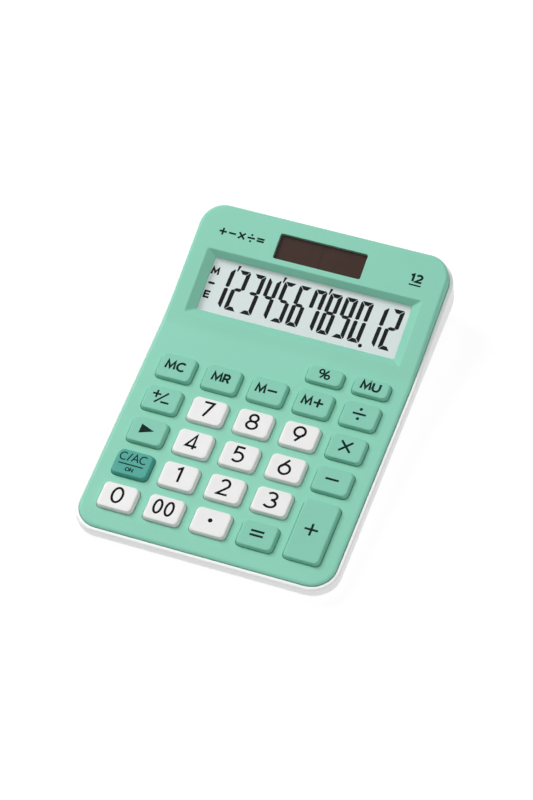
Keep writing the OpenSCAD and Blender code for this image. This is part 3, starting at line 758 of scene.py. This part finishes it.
def build_key(name, material):
    centre, hx, hy, height = key_place(name)
    flange_end = -FLANGE_TOP - FLANGE_T
    ceiling = height - KEY_WALL - 0.3
    tx, ty = hx - LEAN_X, hy - LEAN_Y
    wall = smooth_chain([Vector(c) for c in (
        (hx - KEY_WALL, hy - KEY_WALL, ceiling, 0.8), (hx - KEY_WALL, hy - KEY_WALL, flange_end, 0.8),
        (hx + FLANGE, hy + FLANGE, flange_end, KEY_R + FLANGE),
        (hx + FLANGE, hy + FLANGE, -FLANGE_TOP, KEY_R + FLANGE),
        (hx, hy, -FLANGE_TOP, KEY_R), (hx, hy, KEY_STRAIGHT, KEY_R), (tx, ty, height, KEY_R - 0.3),
        (tx - EDGE, ty - EDGE, height, KEY_R - 1.2))], [0, 0.12, 0.12, 0, 0.3, 0.55])
    rows = [[PAD @ Vector((*p, z)) for p in rounded_rect(2 * a, 2 * b, r, 6, centre.x, centre.y)]
            for a, b, z, r in wall]
    for share in (0.85, 0.6, 0.3):
        outline = rounded_rect(2 * (tx - EDGE) * share, 2 * (ty - EDGE) * share, (KEY_R - 1.2) * share,
                               6, centre.x, centre.y)
        rows.append([PAD @ Vector((*p, key_top(name, *p))) for p in outline])
    solid = Solid()
    inner, outer = solid.chain(rows)
    solid.cap(outer)
    steps = ((PLUNGER_R, ceiling), (PLUNGER_R, 0.3 - PLUNGER_END), (PLUNGER_R - 0.3, -PLUNGER_END))
    plunger, tip = solid.chain([[PAD @ Vector((*p, z)) for p in circle(r, 32, centre.x, centre.y)]
                                for r, z in steps])
    solid.cap(tip)
    solid.fill(inner, [plunger])
    return solid.piece("cap_" + name, name, material, [name])


WHITE_KEYS = {"key_point", "key_00", *("key_" + digit for digit in "0123456789")}
for key_name in KEYS:
    if key_name in WHITE_KEYS:
        build_key(key_name, WHITE_KEY)
    elif key_name == "key_clear_on":
        build_key(key_name, TEAL_KEY)
    else:
        build_key(key_name, MINT_KEY)


# Legends: strokes drawn out as thin ink, in units of the height of a capital's centre line

def bow(x, y, rx, ry, start, end, n=20):
    """Points round an arc; angles in degrees, anticlockwise from the right."""
    return [(x + rx * math.cos(math.radians(start + (end - start) * k / n)),
             y + ry * math.sin(math.radians(start + (end - start) * k / n))) for k in range(n + 1)]


# Each glyph: its width, then its strokes; a stroke that ends where it starts is closed
GLYPHS = {
    "0": (0.64, [bow(0.32, 0.5, 0.32, 0.5, 90, 450, 36)]),
    "1": (0.3, [[(0, 0.84), (0.26, 1), (0.26, 0)]]),
    "2": (0.64, [bow(0.3, 0.71, 0.28, 0.29, 158, -38) + [(0, 0), (0.64, 0)]]),
    "3": (0.67, [bow(0.33, 0.76, 0.29, 0.24, 152, -90), bow(0.31, 0.26, 0.37, 0.26, 90, -148)]),
    "4": (0.69, [[(0.69, 0.2), (0, 0.2), (0.48, 1.0), (0.48, 0)]]),
    "5": (0.64, [[(0.58, 1), (0.1, 1), (0.06, 0.56)] + bow(0.29, 0.32, 0.34, 0.32, 118, -140)]),
    "6": (0.68, [bow(0.34, 0.33, 0.34, 0.33, 90, 450, 36), [(0.47, 1.02), (0.06, 0.46)]]),
    "7": (0.61, [[(0, 1), (0.61, 1), (0.2, 0)]]),
    "8": (0.66, [bow(0.33, 0.76, 0.26, 0.24, 90, 450, 36), bow(0.33, 0.265, 0.33, 0.265, 90, 450, 36)]),
    "9": (0.68, [bow(0.34, 0.67, 0.34, 0.33, -90, 270, 36), [(0.62, 0.54), (0.21, -0.02)]]),
    "A": (0.88, [[(0, 0), (0.44, 1), (0.88, 0)], [(0.17, 0.34), (0.71, 0.34)]]),
    "C": (0.9, [bow(0.5, 0.5, 0.5, 0.5, 48, 312, 24)]),
    "M": (1.02, [[(0, 0), (0.11, 1), (0.51, 0.16), (0.91, 1), (1.02, 0)]]),
    "N": (0.76, [[(0, 0), (0, 1), (0.76, 0), (0.76, 1)]]),
    "O": (1.0, [bow(0.5, 0.5, 0.5, 0.5, 90, 450, 36)]),
    "R": (0.66, [[(0, 0), (0, 1), (0.34, 1)] + bow(0.34, 0.74, 0.27, 0.26, 90, -90)
                 + [(0, 0.48)], [(0.34, 0.48), (0.66, 0)]]),
    "U": (0.78, [[(0, 1), (0, 0.38)] + bow(0.39, 0.38, 0.39, 0.38, 180, 360) + [(0.78, 1)]]),
    "/": (0.42, [[(0, -0.05), (0.42, 1.05)]]),
    "+": (1.1, [[(0, 0.5), (1.1, 0.5)], [(0.55, 1.04), (0.55, -0.04)]]),
    "-": (1.1, [[(0, 0.5), (1.1, 0.5)]]),
    "=": (1.1, [[(0, 0.69), (1.1, 0.69)], [(0, 0.31), (1.1, 0.31)]]),
    "x": (0.94, [[(0, 0.03), (0.94, 0.97)], [(0, 0.97), (0.94, 0.03)]]),
    ":": (1.1, [[(0, 0.5), (1.1, 0.5)]]),
    "%": (1.2, [bow(0.25, 0.78, 0.25, 0.25, 90, 450, 24), bow(0.97, 0.22, 0.25, 0.25, 90, 450, 24),
                [(0.22, -0.04), (1.0, 1.04)]]),
}
INK_UP, INK_DOWN = 0.02, 0.06   # ink stands this proud, and reaches this far into what it is on


def stroke_sides(points, half, closed):
    """The two sides of a flat stroke along a line, mitred where it turns."""
    count = len(points)
    left, right = [], []
    for i, p in enumerate(points):
        before = points[i - 1] if i or closed else None
        after = points[(i + 1) % count] if i < count - 1 or closed else None
        ways = [(b - a).normalized() for a, b in ((before, p), (p, after))
                if a is not None and b is not None]
        along = sum(ways, Vector((0, 0))).normalized()
        normal = Vector((-along.y, along.x))
        reach = half / max(0.42, abs(normal.dot(Vector((-ways[0].y, ways[0].x)))))
        left.append(p + normal * reach)
        right.append(p - normal * reach)
    return left, right


def draw_stroke(solid, place, points, half, lift):
    """A stroke as a thin closed solid on the surface that place follows."""
    points = [Vector(p) for p in points]
    closed = (points[0] - points[-1]).length < 1e-4
    if closed:
        points.pop()
    left, right = stroke_sides(points, half, closed)
    solid.sweep([[place(a.x, a.y, INK_UP + lift), place(b.x, b.y, INK_UP + lift),
                  place(b.x, b.y, -INK_DOWN), place(a.x, a.y, -INK_DOWN)]
                 for a, b in zip(left, right)], closed)


def draw_text(solid, place, text, x, y, cap, stroke, track=0.3, narrow=1.0):
    """Writes text centred on a point; cap is the height from centre line to centre line."""
    widths = [GLYPHS[c][0] * narrow for c in text]
    at = x - (sum(widths) + track * (len(text) - 1)) * cap / 2
    lift = 0.0
    for c, width in zip(text, widths):
        for line in GLYPHS[c][1]:
            points = [(at + px * narrow * cap, y + (py - 0.5) * cap) for px, py in line]
            draw_stroke(solid, place, points, stroke / 2, lift)
            lift += 0.002
        at += (width + track) * cap


def draw_dot(solid, place, x, y, r, lift=0.01):
    solid.plate(place, circle(r, 28, x, y), INK_UP + lift, -INK_DOWN)


# Key: (text, centre-line height of a capital, stroke width, gap between letters)
DIGIT, DOUBLE, LETTERS, SIGN = (6.3, 0.95, 0.3), (5.7, 0.92, 0.3), (3.5, 0.9, 0.28), (4.85, 0.9, 0.3)
TEXTS = {f"key_{digit}": (digit, *DIGIT) for digit in "0123456789"} | {
    "key_00": ("00", *DOUBLE), "key_memory_clear": ("MC", *LETTERS), "key_memory_recall": ("MR", *LETTERS),
    "key_memory_minus": ("M-", *LETTERS), "key_memory_plus": ("M+", *LETTERS),
    "key_markup": ("MU", *LETTERS), "key_percent": ("%", 3.5, 0.72, 0), "key_multiply": ("x", *SIGN),
    "key_divide": (":", *SIGN), "key_subtract": ("-", *SIGN), "key_add": ("+", *SIGN),
    "key_equals": ("=", *SIGN)}
LEGEND_UP = 0.45            # legends sit this far above the middle of their keys
LEGEND_LEFT = 0.35          # and this far to the left of it


def build_legend(name):
    centre = key_place(name)[0]
    x, y = centre.x, centre.y + LEGEND_UP
    solid = Solid()

    def place(px, py, up):
        return PAD @ Vector((px, py, key_top(name, px, py) + up))

    if name in TEXTS:
        text, cap, stroke, track = TEXTS[name]
        x -= LEGEND_LEFT
        draw_text(solid, place, text, x, y, cap, stroke, track, 0.8 if name == "key_00" else 1.0)
    if name == "key_divide":
        for side in (-1, 1):
            draw_dot(solid, place, x, y + side * 2.15, 0.66)
    if name == "key_point":
        draw_dot(solid, place, x - LEGEND_LEFT, y + 0.1, 0.9)
    if name == "key_shift_right":
        solid.plate(place, [(x - 3.1, y - 2.1), (x + 2.6, y), (x - 3.1, y + 2.1)], INK_UP, -INK_DOWN)
    if name == "key_sign":
        draw_text(solid, place, "+", x - 2.6, y + 1.3, 3.1, 0.8)
        draw_stroke(solid, place, [(x - 2.55, y - 2.6), (x + 1.85, y + 2.55)], 0.36, 0.004)
        draw_stroke(solid, place, [(x - 0.1, y - 1.9), (x + 3.3, y - 1.9)], 0.42, 0.006)
    if name == "key_clear_on":
        draw_text(solid, place, "C/AC", x - 0.5, y + 1.85, 3.2, 0.52, 0.17, 0.92)
        draw_stroke(solid, place, [(x - 5.5, y - 1.35), (x + 4.6, y - 1.35)], 0.25, 0)
        draw_text(solid, place, "ON", x - 0.35, y - 3.45, 1.45, 0.46, 0.3)
    ink_used = TEAL_INK if name == "key_clear_on" else KEY_INK if name in WHITE_KEYS else COVER_INK
    return solid.piece("legend_" + name, name, ink_used, weighted=False)


for key_name in KEYS:
    build_legend(key_name)


# Display: digits that the panel shows, and the marks printed on the cover round it

DIGIT_PITCH = 6.393
DIGIT_RIGHT = 38.7          # right edge of the last digit's top
DIGIT_W = 5.1
DIGIT_LOW, DIGIT_MIDDLE, DIGIT_HIGH = 12.4, 21.5, 29.9
DIGIT_LEAN = 0.85           # how far a digit's top leans to the right
BAR = 1.66                  # width of a segment
HAIR = 0.14                 # half the gap between two segments
POINT_X = 25.95             # decimal point
MARK_RIGHT = 0.84           # a thousands mark stands this far right of where a point would
SIGNS_X = -39.5             # column of small signs at the left
SEGMENTS = {"0": "abcdef", "1": "bc", "2": "abdeg", "3": "abcdg", "4": "bcfg", "5": "acdfg",
            "6": "acdefg", "7": "abcf", "8": "abcdefg", "9": "abcdfg"}


def segment_outline(segment, right):
    """A segment's outline: bars with mitred ends, a hair apart."""
    left, middle, cut = right - DIGIT_W, DIGIT_MIDDLE, HAIR
    top, bottom = DIGIT_HIGH, DIGIT_LOW
    if segment in "ad":
        edge, inward = (top, -BAR) if segment == "a" else (bottom, BAR)
        flat = [(left + 0.25 + cut, edge), (right - 0.25 - cut, edge),
                (right - BAR - cut, edge + inward), (left + BAR + cut, edge + inward)]
    elif segment == "g":
        flat = [(left + 0.75 + cut, middle), (left + BAR + cut, middle + BAR * 0.42),
                (right - BAR - cut, middle + BAR * 0.42), (right - 0.75 - cut, middle),
                (right - BAR - cut, middle - BAR * 0.42), (left + BAR + cut, middle - BAR * 0.42)]
    else:
        way = 1 if segment in "bc" else -1
        edge = right if way > 0 else left
        upper = segment in "bf"
        far, near = (top, middle) if upper else (bottom, middle)
        up = 1 if upper else -1
        flat = [(edge - way * 0.1, far - up * 0.5), (edge, far - up * 0.9), (edge, near + up * 0.55),
                (edge - way * 0.75, near + up * cut), (edge - way * BAR, near + up * 0.55),
                (edge - way * BAR, far - up * (BAR + 0.1)), (edge - way * 0.4, far - up * 0.3)]
    return [(x + DIGIT_LEAN * (y - DIGIT_HIGH) / (DIGIT_HIGH - DIGIT_LOW), y) for x, y in flat]


def build_display():
    panel = local_box("lcd_panel", DISPLAY)[1].z
    solid = Solid()

    def place(x, y, up):
        return DISPLAY @ Vector((x, y, panel + up))

    for k, digit in enumerate("123456789012"):
        right = DIGIT_RIGHT - (11 - k) * DIGIT_PITCH
        for segment in SEGMENTS[digit]:
            solid.plate(place, segment_outline(segment, right), INK_UP, -INK_DOWN)
    for k in (9, 6, 3):         # thousands marks, counted in digits from the decimal point
        x = POINT_X + MARK_RIGHT - k * DIGIT_PITCH
        solid.plate(place, [(x - 0.45, 29.0), (x + 0.05, 29.0), (x + 0.8, 31.5), (x - 0.35, 31.5)],
                    INK_UP, -INK_DOWN)
    draw_dot(solid, place, POINT_X, 11.75, 0.8, 0)
    # Memory, minus and error signs at the left, one above the other
    x = SIGNS_X
    draw_stroke(solid, place, [(x - 1.4, 25.5), (x - 1.1, 28.2), (x, 26.4), (x + 1.1, 28.2),
                               (x + 1.3, 25.5)], 0.42, 0)
    solid.plate(place, [(x - 1.5, 21.7), (x - 0.8, 22.2), (x + 1.0, 22.2), (x + 1.7, 21.7),
                        (x + 1.0, 21.2), (x - 0.8, 21.2)], INK_UP, -INK_DOWN)
    draw_stroke(solid, place, [(x + 1.0, 18.0), (x - 1.1, 18.0), (x - 1.1, 15.5), (x + 1.0, 15.5)],
                0.4, 0)
    draw_stroke(solid, place, [(x - 0.9, 16.8), (x + 0.8, 16.8)], 0.36, 0.004)
    return solid.piece("display_digits", CASE, LCD_INK, weighted=False)


MARKS_X, MARKS_Y, MARKS_PITCH = -40.9, 42.3, 3.95       # row of arithmetic signs
BADGE_X, BADGE_Y = 39.6, 42.6                           # number of digits, over a thin rule


def build_cover_marks():
    solid = Solid()

    def place(x, y, up):
        return face_point(x, display_s(y), -up)

    for k, sign in enumerate("+-x:="):
        x = MARKS_X + MARKS_PITCH * k
        draw_text(solid, place, sign, x, MARKS_Y, 2.75, 0.78)
        if sign == ":":
            for side in (-1, 1):
                draw_dot(solid, place, x, MARKS_Y + side * 1.35, 0.45)
    draw_text(solid, place, "12", BADGE_X, BADGE_Y, 2.9, 0.9, 0.36, 1.35)
    rule = BADGE_Y - 2.9
    draw_stroke(solid, place, [(BADGE_X - 2.3, rule), (BADGE_X + 2.5, rule)], 0.3, 0)
    return solid.piece("cover_marks", CASE, COVER_INK, weighted=False)


build_display()
build_cover_marks()


# The CAD nodes that stay get their finish and softened edges

FINISHES = {
    "lcd_panel": LCD_GLASS, "lcd_reflector": REFLECTOR, "lcd_holder": DARK_PLASTIC, "lcd_ribbon": RIBBON,
    "display_window": WINDOW, "solar_window": SOLAR_WINDOW, "solar_cell": SOLAR_CELL,
    "case_screws": STEEL, "display_screws": STEEL, "board_screws": STEEL, "circuit_board": BOARD_GREEN,
    "processor_blob": EPOXY, "board_capacitor": SLEEVE, "keypad_mat": MAT_RUBBER, "battery_cell": CELL_STEEL,
    "battery_contact_positive": CONTACT, "battery_contact_negative": CONTACT,
    "battery_lead_positive": RED_WIRE, "battery_lead_negative": BLACK_WIRE,
    "solar_lead_positive": RED_WIRE, "solar_lead_negative": BLACK_WIRE,
}
SOFTENED = {"lcd_panel": 0.15, "lcd_holder": 0.3, "display_window": 0.12, "solar_window": 0.12,
            "solar_cell": 0.1, "circuit_board": 0.08, "case_screws": 0.15, "battery_cell": 0.3}

for node_name, finish in FINISHES.items():
    node = frame["nodes"][node_name]
    for slot_place in node.material_slots:
        slot_place.material = finish
    if node_name in SOFTENED:
        bevel = node.modifiers.new("softened", "BEVEL")
        bevel.width = SOFTENED[node_name] * MM
        bevel.segments = 2
        bevel.limit_method = "ANGLE"
        bevel.angle_limit = math.radians(40)


# Camera, floor and light

EYE = (0.3394, -0.66715, 1.0140)
TURN = (36.49, 4.45, 21.00)
LENS = 146.96
MIDDLE = Vector((0, 0, 0.01))
FLOOR_GLOW = 0.87
FLOOR_HALF = 3.0            # metres

camera_data = bpy.data.cameras.new("camera")
camera_data.lens = LENS
camera = bpy.data.objects.new("camera", camera_data)
bpy.context.scene.collection.objects.link(camera)
camera.location = EYE
camera.rotation_euler = [math.radians(a) for a in TURN]
camera_data.clip_start, camera_data.clip_end = 0.05, 20
bpy.context.scene.camera = camera


def build_floor():
    """A pale paper floor, lit evenly enough to read as white."""
    material, nodes, links, shader = new_material("floor_paper")
    where = nodes.new("ShaderNodeTexCoord").outputs["Object"]
    links.new(ramp(nodes, links, noise(nodes, links, where, 3), srgb(112, 112, 112), srgb(114, 114, 114)),
              shader.inputs["Base Color"])
    shader.inputs["Roughness"].default_value = 0.9
    shader.inputs["Specular IOR Level"].default_value = 0.1
    shader.inputs["Emission Color"].default_value = (1, 1, 1, 1)
    shader.inputs["Emission Strength"].default_value = FLOOR_GLOW
    mesh = bpy.data.meshes.new("floor")
    corners = [(x * FLOOR_HALF, y * FLOOR_HALF, 0) for x, y in ((-1, -1), (1, -1), (1, 1), (-1, 1))]
    mesh.from_pydata(corners, [], [(0, 1, 2, 3)])
    floor = bpy.data.objects.new("floor", mesh)
    mesh.materials.append(material)
    bpy.context.scene.collection.objects.link(floor)


def area_light(name, eye, size, power):
    """A square soft light that faces the middle of the object."""
    light = bpy.data.lights.new(name, "AREA")
    light.shape = "SQUARE"
    light.size = size
    light.energy = power
    obj = bpy.data.objects.new(name, light)
    bpy.context.scene.collection.objects.link(obj)
    obj.rotation_mode = "QUATERNION"
    obj.rotation_quaternion = (MIDDLE - Vector(eye)).to_track_quat("-Z", "Y")
    obj.location = eye


build_floor()
area_light("key_light", (-1.0, 0.42, 1.1), 0.8, 16.5)
area_light("top_light", (0.35, -0.25, 1.5), 1.0, 8.0)

world = bpy.data.worlds.new("studio")
world.use_nodes = True
world.node_tree.nodes["Background"].inputs["Color"].default_value = (1, 1, 1, 1)
world.node_tree.nodes["Background"].inputs["Strength"].default_value = 0.24
bpy.context.scene.world = world
bpy.context.scene.view_settings.view_transform = "Standard"
